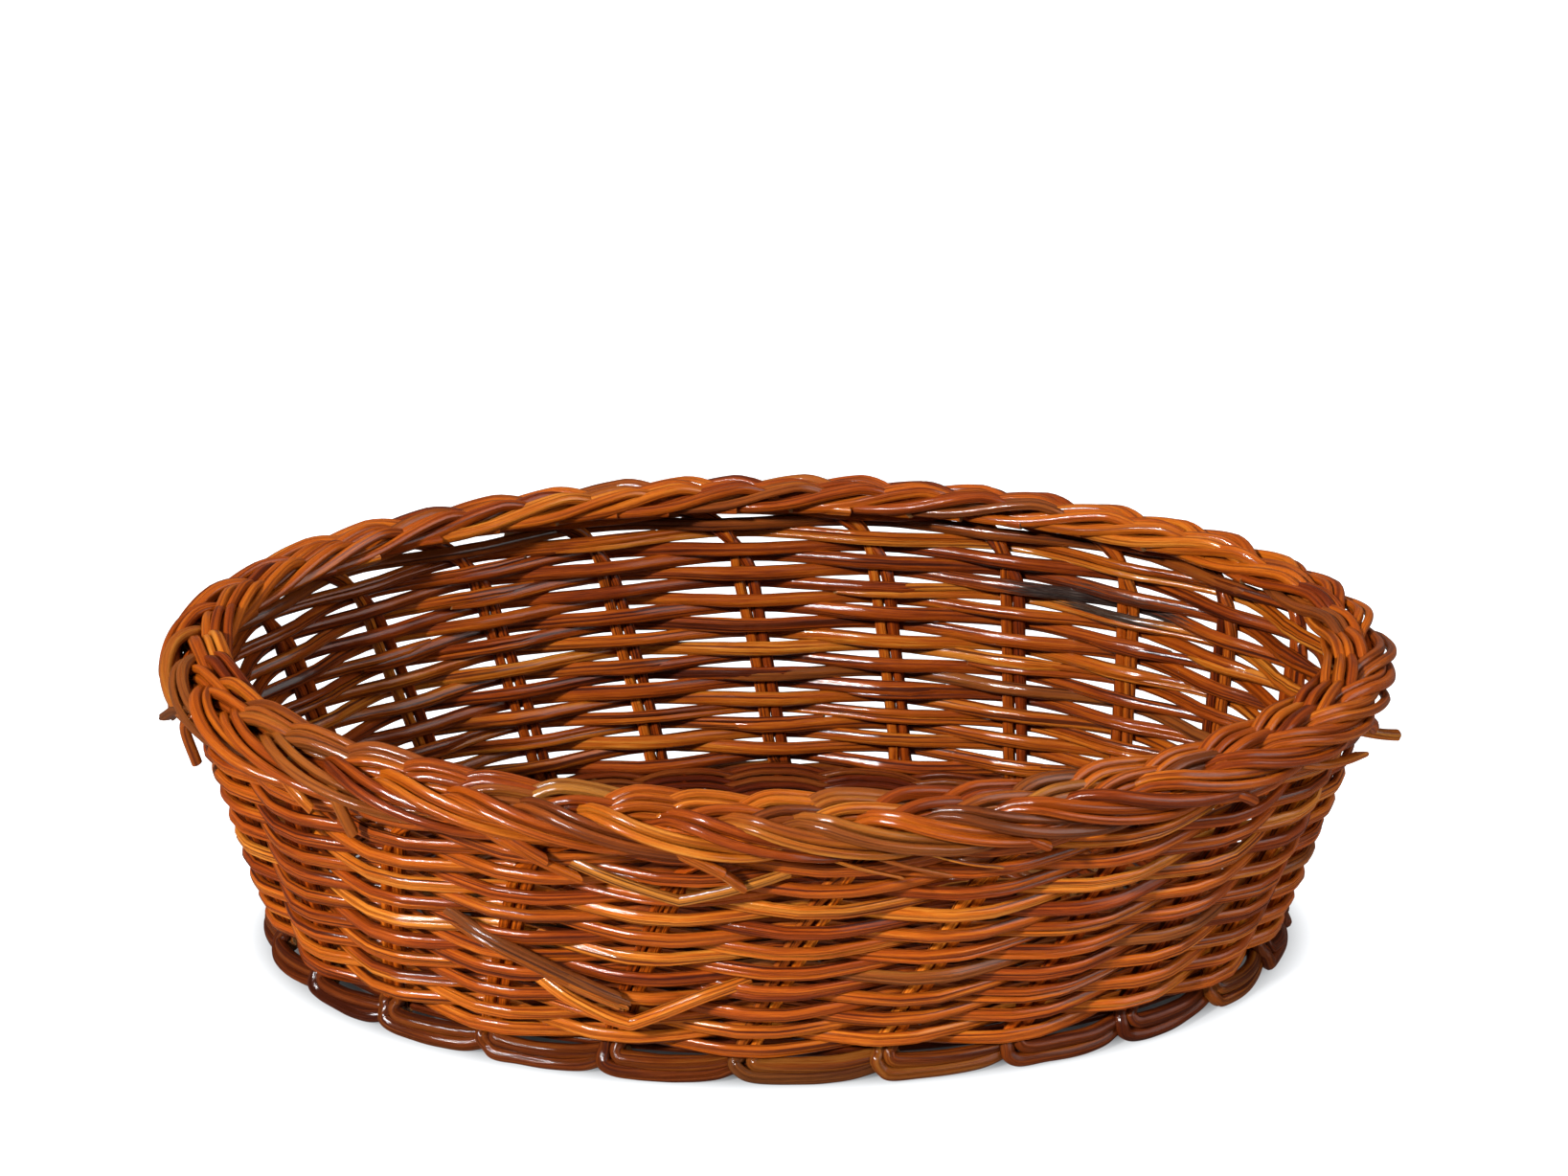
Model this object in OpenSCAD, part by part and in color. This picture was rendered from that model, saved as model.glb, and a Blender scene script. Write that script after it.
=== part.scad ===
// Oval open wicker basket: a stick base, pairs of upright stakes, a randed side, a plaited rim
// and a looped foot.
// Millimetres, +Z up, +X along the long axis, origin on the floor under the basket's centre.

/* [Outline] */
// Half length of the wall, measured to the stakes' centres where they leave the base
base_half_length = 165; // [150:1:180]
// Half width of the wall, measured to the stakes' centres where they leave the base
base_half_width = 97; // [88:1:110]
// How far the wall leans out between the base and the rim
flare = 27; // [15:1:35]
// Height of the middle of the plaited rim
rim_height = 104.5; // [104.5:0.5:108]
// How far the stakes lean along the wall between the floor and the rim, in degrees of the oval
stake_lean = 9.5; // [0:0.5:10]
// How much more they lean at the front, and less at the back
stake_lean_spread = 3.5; // [0:0.5:4]

/* [Rods] */
// Thickness of a stake
stake_d = 3.4; // [2.6:0.1:3.6]
// Thickness of a side weaver
weaver_d = 3.4; // [2.6:0.1:3.6]
// Thickness of a cross stick of the base
cross_stick_d = 4.6; // [4.2:0.1:5]
// Thickness of a long stick of the base, which passes through slits in the cross sticks
long_stick_d = 2.8; // [2:0.1:3]
// Thickness of a weaver of the base
base_weaver_d = 2.2; // [1.8:0.1:2.4]

/* [Side weave] */
// Height of the lowest side row
first_row_z = 12.7; // [12.5:0.1:12.7]
// Rise from one side row to the next
row_pitch = 4.2; // [4:0.05:4.2]
// How far a row swings out and in to clear a stake
row_swing = 4.9; // [4.6:0.1:5]

/* [Rim] */
// Half the width over which the plait's strands swing
plait_swing = 8.6; // [8.4:0.1:9]
// Half the height over which the plait's strands cross
plait_lift = 2.5; // [2.4:0.1:2.5]
// How far the plait tips down towards the outside, in degrees
plait_tip = 16; // [8:1:16]
// How far the middle of the plait lies inside the top of the wall
plait_inset = 2.5; // [2:0.1:3]

/* [Hidden] */
// Evenly spaced pairs of stakes
stake_pairs = 24;
pair_step = 360 / stake_pairs;
// Where the first pair stands at half height, turned a little from the long axis
first_pair = 2.5;
// Rows of the side weave
rows = 21;
// Height of the middle of the base's sticks
base_z = 11;
// How far apart the two stakes of a pair stand at the foot and at the rim
pair_gap = [3.7, 6];
// Strands of the plait, and how often one of them swings out and back on its way round the rim
plait_strands = 5;
plait_turns = 10;
plait_section = [4.2, 2.8];
// Turns even steps of length round the rim into angles of the oval
plait_even = 5.9;
// Each rod of the foot starts under its own pair and ends inside the second pair along
foot_reach = 2.15;
foot_swing = 4;
// Sticks of the base, and how far apart they lie
cross_sticks = 9;
cross_stick_step = 32;
long_sticks = 3;
// Rounds of weaving in the base
base_rounds = 7;
base_round_gap = 0.8;
// Gap left where two rods of the basket lie against each other
clearance = 0.2;
// The base stays inside the wall's rods by this much
base_inset = row_swing + weaver_d / 2 + clearance;

// How far the wall leans out at a height, and a point of it at an angle of the oval
function wall_lean(z) = flare * (z - base_z) / (rim_height - base_z);
function wall_point(t, z) =
    [(base_half_length + wall_lean(z)) * cos(t), (base_half_width + wall_lean(z)) * sin(t), z];
// Level outward direction of the wall
function wall_out(t, z) =
    let (n = [(base_half_width + wall_lean(z)) * cos(t), (base_half_length + wall_lean(z)) * sin(t), 0])
    n / norm(n);
// Where a pair of stakes passes a height
function pair_angle(p, z) =
    let (t = first_pair + (p - 1) * pair_step)
    t + (stake_lean - stake_lean_spread * sin(t)) * (z / rim_height - 0.55);

// A rod's section as level and upright offsets: a hexagon with flat top and bottom
function flat_rod(width, height) =
    [[width / 2, 0], [width / 4, height / 2], [-width / 4, height / 2],
     [-width / 2, 0], [-width / 4, -height / 2], [width / 4, -height / 2]];

// Points of a rod: one section at each station [position, outward direction]
function rod_points(stations, section) =
    [for (s = stations) for (q = section) s[0] + q[0] * s[1] + [0, 0, q[1]]];
function side_faces(n, k, closed) =
    [for (i = [0:closed ? n - 1 : n - 2]) for (j = [0:k - 1])
        let (i2 = (i + 1) % n, j2 = (j + 1) % k)
        [i * k + j, i * k + j2, i2 * k + j2, i2 * k + j]];

module closed_rod(stations, section)
    polyhedron(
        points = rod_points(stations, section),
        faces = side_faces(len(stations), len(section), true)
    );

module open_rod(stations, section) {
    n = len(stations);
    k = len(section);
    polyhedron(
        points = rod_points(stations, section),
        faces = concat(
            [[for (j = [k - 1:-1:0]) j]],
            side_faces(n, k, false),
            [[for (j = [0:k - 1]) (n - 1) * k + j]]
        )
    );
}

// A straight round rod between two points
module straight_rod(from, to, d) {
    v = to - from;
    translate(from)
        rotate([0, acos(v[2] / norm(v)), atan2(v[1], v[0])])
            cylinder(d = d, h = norm(v), $fn = 24);
}

// One row goes outside every second pair of stakes and inside the others
module side_row(r) {
    z = first_row_z + (r - 1) * row_pitch;
    side = r % 2 == 0 ? -1 : 1;
    stations_per_bay = 3;
    count = stake_pairs * stations_per_bay;
    stations = [for (i = [0:count - 1])
        let (
            t = pair_angle(1 + i / stations_per_bay, z),
            swing = side * row_swing * cos(180 * i / stations_per_bay)
        )
        [wall_point(t, z) + swing * wall_out(t, z), wall_out(t, z)]];
    color("chocolate") closed_rod(stations, flat_rod(weaver_d, weaver_d));
}

// Two rods side by side that spread a little towards the rim
module stake_pair(p) {
    ends = [stake_d + clearance, rim_height - plait_lift - plait_section[1] / 2 - stake_d / 2];
    function stake_end(k, side) =
        let (t = pair_angle(p, ends[k]), along = cross([0, 0, 1], wall_out(t, ends[k])))
        wall_point(t, ends[k]) + side * pair_gap[k] / 2 * along;
    color("sienna")
        for (side = [-1, 1])
            straight_rod(stake_end(0, side), stake_end(1, side), stake_d);
}

// Strands plaited on top of the wall. On its way out, and on its way back in, a strand goes over two
// others and then under two. Each station is at a crossing, or level at an edge of the plait.
plait_levels = [1, 1, 0, -1, -1];
module rim_plait_strand(s) {
    count = plait_turns * 2 * len(plait_levels);
    w = plait_section[0];
    h = plait_section[1];
    stations = [for (i = [0:count - 1])
        let (
            phase = (i + 0.5) * 180 / len(plait_levels),
            even = (phase + (s - 1) * 360 / plait_strands) / plait_turns,
            t = even + plait_even * sin(2 * even),
            n = wall_out(t, rim_height),
            outward = cos(plait_tip) * n - [0, 0, sin(plait_tip)],
            upward = sin(plait_tip) * n + [0, 0, cos(plait_tip)],
            middle = wall_point(t, rim_height) - plait_inset * n,
            lift = plait_lift * plait_levels[i % len(plait_levels)]
        )
        [middle + plait_swing * sin(phase) * outward + lift * upward, n]];
    color("peru") closed_rod(stations, [[w, -h] / 2, [w, h] / 2, [-w, h] / 2, [-w, -h] / 2]);
}

// A rod of the foot runs out past the next pair, then in behind the one after. It climbs one rod's
// height in each bay, so that it lies over the rods that start later, and starts flat on the floor.
foot_stations = [0, 0.3, 0.65];
function foot_out(u) =
    u < 0.7 ? foot_swing * sin(90 * u / 0.7) :
    u < 1.15 ? foot_swing :
    foot_swing * cos(180 * min(1, (u - 1.15) / 0.75));
function foot_rise(u) =
    (floor(u) + max(0, (u - floor(u) - foot_stations[1]) / (1 - foot_stations[1]))) * (stake_d + clearance);
module foot_border() {
    stations = [for (bay = [0:floor(foot_reach)]) for (u = foot_stations)
        if (bay + u < foot_reach) bay + u];
    color("saddlebrown")
        for (p = [1:stake_pairs])
            open_rod([for (u = concat(stations, [foot_reach]))
                let (t = pair_angle(p + u, 0), n = wall_out(t, 0))
                [wall_point(t, stake_d / 2 + foot_rise(u)) + foot_out(u) * n, n]],
                flat_rod(stake_d, stake_d));
}

// How far the sticks of the base reach along a line at a distance from its middle
function oval_reach(along, across, offset) =
    (along - base_inset) * sqrt(1 - pow(offset / (across - base_inset), 2)) - cross_stick_d / 2;

module base_cross_sticks() {
    slit_w = long_sticks * (long_stick_d + clearance) + clearance;
    slit_h = long_stick_d + 2 * clearance;
    color("saddlebrown")
        for (i = [0:cross_sticks - 1]) {
            x = (i - (cross_sticks - 1) / 2) * cross_stick_step;
            reach = oval_reach(base_half_width, base_half_length, x);
            difference() {
                straight_rod([x, -reach, base_z], [x, reach, base_z], cross_stick_d);
                translate([x, 0, base_z])
                    cube([2 * cross_stick_d, slit_w, slit_h], center = true);
            }
        }
}

module base_long_sticks() {
    step = long_stick_d + clearance;
    color("sienna")
        for (k = [0:long_sticks - 1]) {
            y = (k - (long_sticks - 1) / 2) * step;
            reach = oval_reach(base_half_length, base_half_width, y);
            straight_rod([-reach, y, base_z], [reach, y, base_z], long_stick_d);
        }
}

// An oval band from one distance inside the base's edge to another
module oval_band(outer, inner)
    linear_extrude(height = base_weaver_d)
        difference() {
            oval(outer);
            oval(inner);
        }
module oval(inside) {
    a = base_half_length - base_inset - inside;
    b = base_half_width - base_inset - inside;
    polygon([for (t = [0:10:350]) [a * cos(t), b * sin(t)]]);
}

// One round of the base weave: a band above the sticks and a band below, closed in the middle one
module base_round(k) {
    width = (base_half_width - base_inset) / base_rounds;
    outer = (k - 1) * width;
    off = cross_stick_d / 2 + clearance;
    color("chocolate")
        for (z = [base_z + off, base_z - off - base_weaver_d])
            translate([0, 0, z])
                if (k < base_rounds)
                    oval_band(outer, outer + width - base_round_gap);
                else
                    linear_extrude(height = base_weaver_d)
                        oval(outer);
}

for (r = [1:rows]) side_row(r);
for (p = [1:stake_pairs]) stake_pair(p);
for (s = [1:plait_strands])
    rim_plait_strand(s);
foot_border();
base_cross_sticks();
base_long_sticks();
for (k = [1:base_rounds]) base_round(k);
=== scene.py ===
"""Looks of the oval wicker basket.

Lengths are millimetres until a mesh is made, and angles of the oval are degrees. Every rod of the basket is
swept along its own path: the rows of the side, the stakes with the foot that they turn into, the rods of the
plaited rim, and the sticks and weavers of the base.
"""

import math

import bpy
import numpy as np
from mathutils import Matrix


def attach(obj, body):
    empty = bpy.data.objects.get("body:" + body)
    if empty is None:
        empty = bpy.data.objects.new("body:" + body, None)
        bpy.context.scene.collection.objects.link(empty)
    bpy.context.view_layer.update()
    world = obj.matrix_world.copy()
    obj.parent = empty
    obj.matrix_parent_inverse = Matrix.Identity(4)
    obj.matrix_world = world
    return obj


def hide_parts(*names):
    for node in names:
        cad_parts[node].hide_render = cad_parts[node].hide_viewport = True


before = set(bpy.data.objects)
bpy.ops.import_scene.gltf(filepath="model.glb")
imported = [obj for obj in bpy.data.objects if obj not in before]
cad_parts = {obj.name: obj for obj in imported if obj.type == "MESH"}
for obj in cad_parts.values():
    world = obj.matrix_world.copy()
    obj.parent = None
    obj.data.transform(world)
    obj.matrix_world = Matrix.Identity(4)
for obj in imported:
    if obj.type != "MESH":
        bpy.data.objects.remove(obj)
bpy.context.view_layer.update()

MM = 0.001


def count_nodes(prefix):
    """How many CAD nodes have names that start in one way."""
    return sum(name.startswith(prefix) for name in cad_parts)


# Driving sizes, the same as the CAD model's
BASE_HALF = (165.0, 97.0)  # half length and half width of the wall where it leaves the base
FLARE = 27.0
BASE_Z = 11.0
RIM_Z = 104.5
STAKE_PAIRS = count_nodes("stake_pair_")
PAIR_STEP = 360 / STAKE_PAIRS
FIRST_PAIR = 2.5
STAKE_LEAN = 9.5  # degrees of the oval between the floor and the rim
STAKE_LEAN_SPREAD = 3.5  # more at the front, and less at the back
EVEN_HEIGHT = 0.55  # share of the rim's height at which the pairs stand at even angles
ROWS = count_nodes("side_row_")
FIRST_ROW_Z = 12.7
PLAIT_STRANDS = count_nodes("rim_plait_strand_")
PLAIT_INSET = 2.5
PLAIT_TIP = 16.0
PLAIT_EVEN = 5.9  # turns even steps of length round the rim into angles of the oval
BASE_INSET = 6.8
BASE_ROUNDS = count_nodes("base_round_")
CROSS_STICKS, CROSS_STICK_STEP = 9, 32.0

# Sizes as they look
STAKE_D = 4.1
STAKE_GAP = (4.2, 4.4)  # between the two stakes of a pair, at the base and under the rim
FOOT_D = 5.0
ROW_PITCH = 4.29
ROW_DEEP, ROW_TALL = 3.8, 4.9
ROW_SWING = 3.9
ROW_TILT = math.radians(9)  # the rows swing nearly square to the leaning stakes
PLAIT_WAYS, PLAIT_TURNS = 13, 7  # ways round the rim, two or three of them for each strand of the CAD model
PLAIT_SWING, PLAIT_LIFT = 9.2, 4.0
CROSS_STICK_SIZE, LONG_STICK_SIZE = (4.4, 4.2), (2.9, 2.8)
LONG_STICKS, LONG_STICK_STEP = 3, 3.0
BASE_WEAVER_SIZE = (2.835, 2.295)

# Each kind of rod has its own run of random numbers
ROW_SEED, STAKE_SEED, PLAIT_SEED, STICK_SEED = 100, 300, 500, 700
BASE_WEAVER_SEED, BASE_EDGE_SEED, LOOSE_SEED, TRIMMED_SEED = 800, 870, 900, 950


# ---------------------------------------------------------------- the basket's surface

def unit(vectors):
    return vectors / np.linalg.norm(vectors, axis=-1, keepdims=True)


def distance(points):
    """How far along a path each of its points is."""
    return np.concatenate([[0], np.cumsum(np.linalg.norm(np.diff(points, axis=0), axis=1))])


def lean(z):
    """How far the wall stands out from the base's outline at a height."""
    return FLARE * (z - BASE_Z) / (RIM_Z - BASE_Z)


def pair_angle(q, z):
    """Angle of the oval at which stake pair q passes a height; q may be between two pairs."""
    t = FIRST_PAIR + (q - 1) * PAIR_STEP
    return t + (STAKE_LEAN - STAKE_LEAN_SPREAD * np.sin(np.radians(t))) * (z / RIM_Z - EVEN_HEIGHT)


def wall(t, z, out=0.0):
    """Points at angles t of the oval and heights z, a distance out from the wall's middle, and the outward
    directions there."""
    t, z, out = np.broadcast_arrays(np.radians(t), np.asarray(z, float), np.asarray(out, float))
    a, b = BASE_HALF[0] + lean(z), BASE_HALF[1] + lean(z)
    normal = unit(np.stack([b * np.cos(t), a * np.sin(t), np.zeros_like(t)], -1))
    return np.stack([a * np.cos(t), b * np.sin(t), z], -1) + normal * out[..., None], normal


def spline(points, count):
    """A smooth curve of count points through a few chosen ones (Catmull-Rom)."""
    p = np.asarray(points, float)
    p = np.vstack([2 * p[0] - p[1], p, 2 * p[-1] - p[-2]])
    s = np.linspace(0, len(p) - 3, count)
    i = np.minimum(s.astype(int), len(p) - 4)
    f = (s - i)[:, None]
    p0, p1, p2, p3 = p[i], p[i + 1], p[i + 2], p[i + 3]
    square, cube = 2 * p0 - 5 * p1 + 4 * p2 - p3, 3 * p1 - p0 - 3 * p2 + p3
    return 0.5 * (2 * p1 + (p2 - p0) * f + square * f**2 + cube * f**3)


def wander(rng, x, wavelength, amount):
    """Slow seeded drift along x: four waves that mostly stay within amount, either way."""
    total = np.zeros_like(x, dtype=float)
    for _ in range(4):
        total += np.sin(2 * np.pi * x / (wavelength * rng.uniform(0.5, 1.9)) + rng.uniform(0, 2 * np.pi))
    return amount * total / 2.2


# ---------------------------------------------------------------- rods

def rod_tone(rng):
    """How pale a rod is, from 0 to 1. Most are a middling red brown, and one in sixteen is a pale tan."""
    return rng.uniform(0.72, 0.98) if rng.random() < 0.06 else rng.beta(7.0, 7.0)


def rod_grey(rng):
    """How weathered a rod is, from 0 to 1. One in twelve is clearly so."""
    return rng.uniform(0.35, 1) if rng.random() < 0.08 else rng.uniform(0, 0.1)


class Bundle:
    """Several rods gathered into one mesh, with the attributes that the cane material reads."""

    FACETS, FACET_DEPTH = (2, 3, 5), (0.015, 0.05)  # waves round a rod that make it out of round
    CRACK_WIDTH, CRACK_DEPTH = 0.26, (0.08, 0.22)
    TWIST = (260, 0.5)  # wavelength and amount, as for the two below
    SLOW_SWELLING, QUICK_SWELLING = (90, 0.045), (17, 0.018)

    def __init__(self, name, sides=16):
        self.name, self.sides, self.count = name, sides, 0
        self.verts, self.faces, self.smooth, self.fibre = [], [], [], []
        self.values = {title: [] for title in ("tone", "grey", "burn", "cut", "inner")}

    def rod(self, path, side, width, height, rng, tone=None, grey=None, keep=None, cuts=(0.0, 0.0), taper=0,
            burn=None):
        """Adds a rod along path. side is the direction of its width at each point. keep cuts it to a range of
        rings, cuts are the slants of its two ends, and taper is how many rings at each end run out thin. burn
        gives how charred it is at the points of its path."""
        path = np.asarray(path, float)
        n, k = len(path), self.sides
        width, height = (np.broadcast_to(np.asarray(size, float), n) for size in (width, height))
        if taper:
            ramp = np.minimum(1, 0.6 + 0.4 * np.arange(n) / taper)
            width, height = (size * ramp * ramp[::-1] for size in (width, height))
        length, tangent = distance(path), unit(np.gradient(path, axis=0))
        side = unit(side - (side * tangent).sum(1, keepdims=True) * tangent)
        up = np.cross(tangent, side)

        around = np.linspace(0, 2 * np.pi, k, endpoint=False)
        x, y = self._section(rng, length, around, width[:, None] / 2, height[:, None] / 2)
        ring = path[:, None] + side[:, None] * x[..., None] + up[:, None] * y[..., None]
        first, last = keep or (0, n)
        for at, slant in ((first, -cuts[0]), (last - 1, cuts[1])):
            ring[at] += tangent[at] * (slant * x[at])[:, None]
        ring, rings = ring[first:last], last - first
        tone = rod_tone(rng) if tone is None else tone
        grey = rod_grey(rng) if grey is None else grey
        seed = rng.uniform(0, 1000)

        steps = self.count + np.arange(rings - 1)[:, None] * k
        here, beside = steps + np.arange(k), steps + (np.arange(k) + 1) % k
        self._add_faces(np.stack([here, beside, beside + k, here + k], -1).reshape(-1, 4), True)
        girth = (width.mean() + height.mean()) / 2 * np.pi
        wrap = np.tile(np.linspace(0, girth, k, endpoint=False), rings)
        charred = 0.0 if burn is None else np.repeat(burn(path[first:last]), k)
        # How far each point lies on the side of a rod away from its side direction, which for the rows and
        # stakes faces into the basket; the cane material darkens it there as painted shade
        inner = np.tile(np.clip(0.5 - np.cos(around), 0, 1), rings)
        self._add_points(ring.reshape(-1, 3), np.repeat(length[first:last], k), wrap, seed, tone=tone,
                         grey=grey, burn=charred, inner=inner)
        self._cap(ring[0], tangent[first], -1, width[first], tone, seed)
        self._cap(ring[-1], tangent[last - 1], 1, width[last - 1], tone, seed + 5)

    def _section(self, rng, length, around, half_width, half_height):
        """A split, dried rod's outline at each ring: a few shallow facets and one to three deeper cracks,
        which turn slowly round it, and slow and quick swelling along it."""
        angle = around + wander(rng, length, *self.TWIST)[:, None]
        outline = np.ones_like(angle)
        for waves in self.FACETS:
            outline += rng.uniform(*self.FACET_DEPTH) * np.cos(waves * around + rng.uniform(0, 6.3))
        for _ in range(rng.integers(1, 4)):
            off = (around - rng.uniform(0, 2 * np.pi) + np.pi) % (2 * np.pi) - np.pi
            crack = rng.uniform(*self.CRACK_DEPTH) * np.exp(-((off / self.CRACK_WIDTH) ** 2))
            outline -= crack * (0.6 + 0.4 * np.sin(length / rng.uniform(20, 60)))[:, None]
        slow = wander(rng, length, *self.SLOW_SWELLING)
        outline *= 1 + (slow + wander(rng, length, *self.QUICK_SWELLING))[:, None]
        return np.cos(angle) * outline * half_width, np.sin(angle) * outline * half_height

    def _cap(self, edge, tangent, direction, size, tone, seed):
        """Closes an end with a slightly rounded, paler cut face."""
        k, centre, radii = self.sides, edge.mean(0), (1.0, 0.9, 0.3)
        loops = [edge] + [centre + (edge - centre) * radius + tangent * direction * size * bulge
                          for radius, bulge in zip(radii[1:], (0.04, 0.05))]
        order = np.arange(k)
        for base in (self.count, self.count + k):
            here, beside = base + order, base + (order + 1) % k
            self._add_faces(np.stack([here, beside, beside + k, here + k], -1)[:, ::direction], False)
        inner = self.count + 2 * k + order
        middle = np.stack([inner[1:-2:2], inner[2:-1:2], inner[3::2], np.full(k // 2 - 1, inner[0])], -1)
        self._add_faces(middle[:, ::direction], False)
        radial = np.repeat(radii, k)
        self._add_points(np.vstack(loops), radial * 3, np.tile(order * 0.8, 3), seed, tone=tone,
                         cut=np.where(radial < 1, 1.0, 0.4))

    def _add_faces(self, faces, smooth):
        self.faces.append(faces)
        self.smooth.append(np.full(len(faces), smooth))

    def _add_points(self, points, along, wrap, seed, **values):
        """Adds points with their places along and round the rod, and the material's values, 0 unless given.
        The seed tells one rod's noise from another's."""
        count = len(points)
        self.verts.append(points)
        self.fibre.append(np.stack([along, wrap, np.full(count, seed)], -1))
        for title, gathered in self.values.items():
            gathered.append(np.broadcast_to(values.get(title, 0.0), count))
        self.count += count

    def build(self, material, slot, *nodes):
        """Makes the Blender object, which stands for the CAD nodes. slot is not used."""
        mesh = bpy.data.meshes.new(self.name)
        mesh.from_pydata((np.vstack(self.verts) * MM).tolist(), [], np.vstack(self.faces).tolist())
        mesh.polygons.foreach_set("use_smooth", np.concatenate(self.smooth))
        fibre = mesh.attributes.new("fibre", "FLOAT_VECTOR", "POINT")
        fibre.data.foreach_set("vector", np.vstack(self.fibre).ravel())
        for title, gathered in self.values.items():
            attribute = mesh.attributes.new(title, "FLOAT", "POINT")
            attribute.data.foreach_set("value", np.concatenate(gathered))
        mesh.materials.append(material)
        mesh.validate()
        mesh.update()
        piece = bpy.data.objects.new(self.name, mesh)
        bpy.context.scene.collection.objects.link(piece)
        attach(piece, "root")
        if nodes:
            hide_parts(*nodes)


# ---------------------------------------------------------------- materials

BUMP_DEPTH = 0.0006  # metres


class Nodes:
    """A new material, and short ways of adding nodes to it, most of which give the last node's output."""

    def __init__(self, name):
        self.material = bpy.data.materials.new(name)
        self.material.use_nodes = True
        self.tree = self.material.node_tree
        self.tree.nodes.clear()

    def node(self, kind, inputs=(), **settings):
        """Adds a node. Its inputs are values, or outputs of other nodes to link."""
        made = self.tree.nodes.new(kind)
        for key, value in settings.items():
            setattr(made, key, value)
        for key, value in dict(inputs).items():
            if isinstance(value, bpy.types.NodeSocket):
                self.tree.links.new(value, made.inputs[key])
            else:
                made.inputs[key].default_value = value
        return made

    def maths(self, operation, a, b, clamp=False):
        return self.node("ShaderNodeMath", {0: a, 1: b}, operation=operation, use_clamp=clamp).outputs[0]

    def spread(self, value, amount):
        """A noise value as a change of up to about amount, either way."""
        return self.maths("MULTIPLY", self.maths("SUBTRACT", value, 0.5), 2 * amount)

    def total(self, *weighted):
        """The sum of values, each times its weight."""
        parts = [self.maths("MULTIPLY", value, weight) for value, weight in weighted]
        while len(parts) > 1:
            parts[:2] = [self.maths("ADD", *parts[:2])]
        return parts[0]

    def attribute(self, title, output="Fac"):
        return self.node("ShaderNodeAttribute", attribute_name=title).outputs[output]

    def noise(self, scale, detail, rough=0.5):
        """Noise whose scale is how fast it changes along a rod, round it, and from rod to rod."""
        place = self.node("ShaderNodeMapping", {"Vector": self.attribute("fibre", "Vector"), "Scale": scale})
        settings = {"Vector": place.outputs[0], "Scale": 1.0, "Detail": detail, "Roughness": rough}
        return self.node("ShaderNodeTexNoise", settings).outputs["Fac"]

    def stretch(self, value, start, end, low, high):
        """Low where value is at start, high where it is at end, and even in between."""
        ends = {"Value": value, "From Min": start, "From Max": end, "To Min": low, "To Max": high}
        return self.node("ShaderNodeMapRange", ends).outputs[0]

    def mix(self, share, a, b):
        return self.node("ShaderNodeMix", {0: share, 6: a, 7: b}, data_type="RGBA").outputs[2]

    def ramp(self, value, stops):
        ramp = self.node("ShaderNodeValToRGB", {"Fac": value})
        elements = ramp.color_ramp.elements
        while len(elements) < len(stops):
            elements.new(0.5)
        for element, (position, colour) in zip(elements, stops):
            element.position, element.color = position, (*colour, 1)
        return ramp.outputs["Color"]

    def bump(self, height, strength):
        settings = {"Height": height, "Strength": strength, "Distance": BUMP_DEPTH}
        return self.node("ShaderNodeBump", settings).outputs[0]

    def surface(self, inputs):
        """Makes the shader, and gives the finished material."""
        shader = self.node("ShaderNodeBsdfPrincipled", inputs)
        self.node("ShaderNodeOutputMaterial", {"Surface": shader.outputs[0]})
        return self.material


# Colours of the cane, from the darkest rods to the palest
CANE = [(0.0, (0.062, 0.0070, 0.0008)), (0.28, (0.150, 0.0225, 0.0014)), (0.55, (0.235, 0.0445, 0.0022)),
        (0.78, (0.305, 0.0740, 0.0042)), (1.0, (0.380, 0.1350, 0.0170))]
WEATHERED = (0.080, 0.036, 0.010, 1)
GROOVE = (0.026, 0.0040, 0.0010, 1)
CRACK = (0.017, 0.0032, 0.0012, 1)
MARK = (0.02, 0.008, 0.004, 1)
CHARCOAL, ASH = (0.006, 0.004, 0.004, 1), (0.070, 0.058, 0.050, 1)
PITH_DARK, PITH_PALE = (0.060, 0.020, 0.006, 1), (0.240, 0.120, 0.045, 1)
# The colour towards which the side of a rod that faces into the basket is darkened, a painted shade
PAINTED_SHADE = (0.0, 0.0, 0.0, 1)


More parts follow.
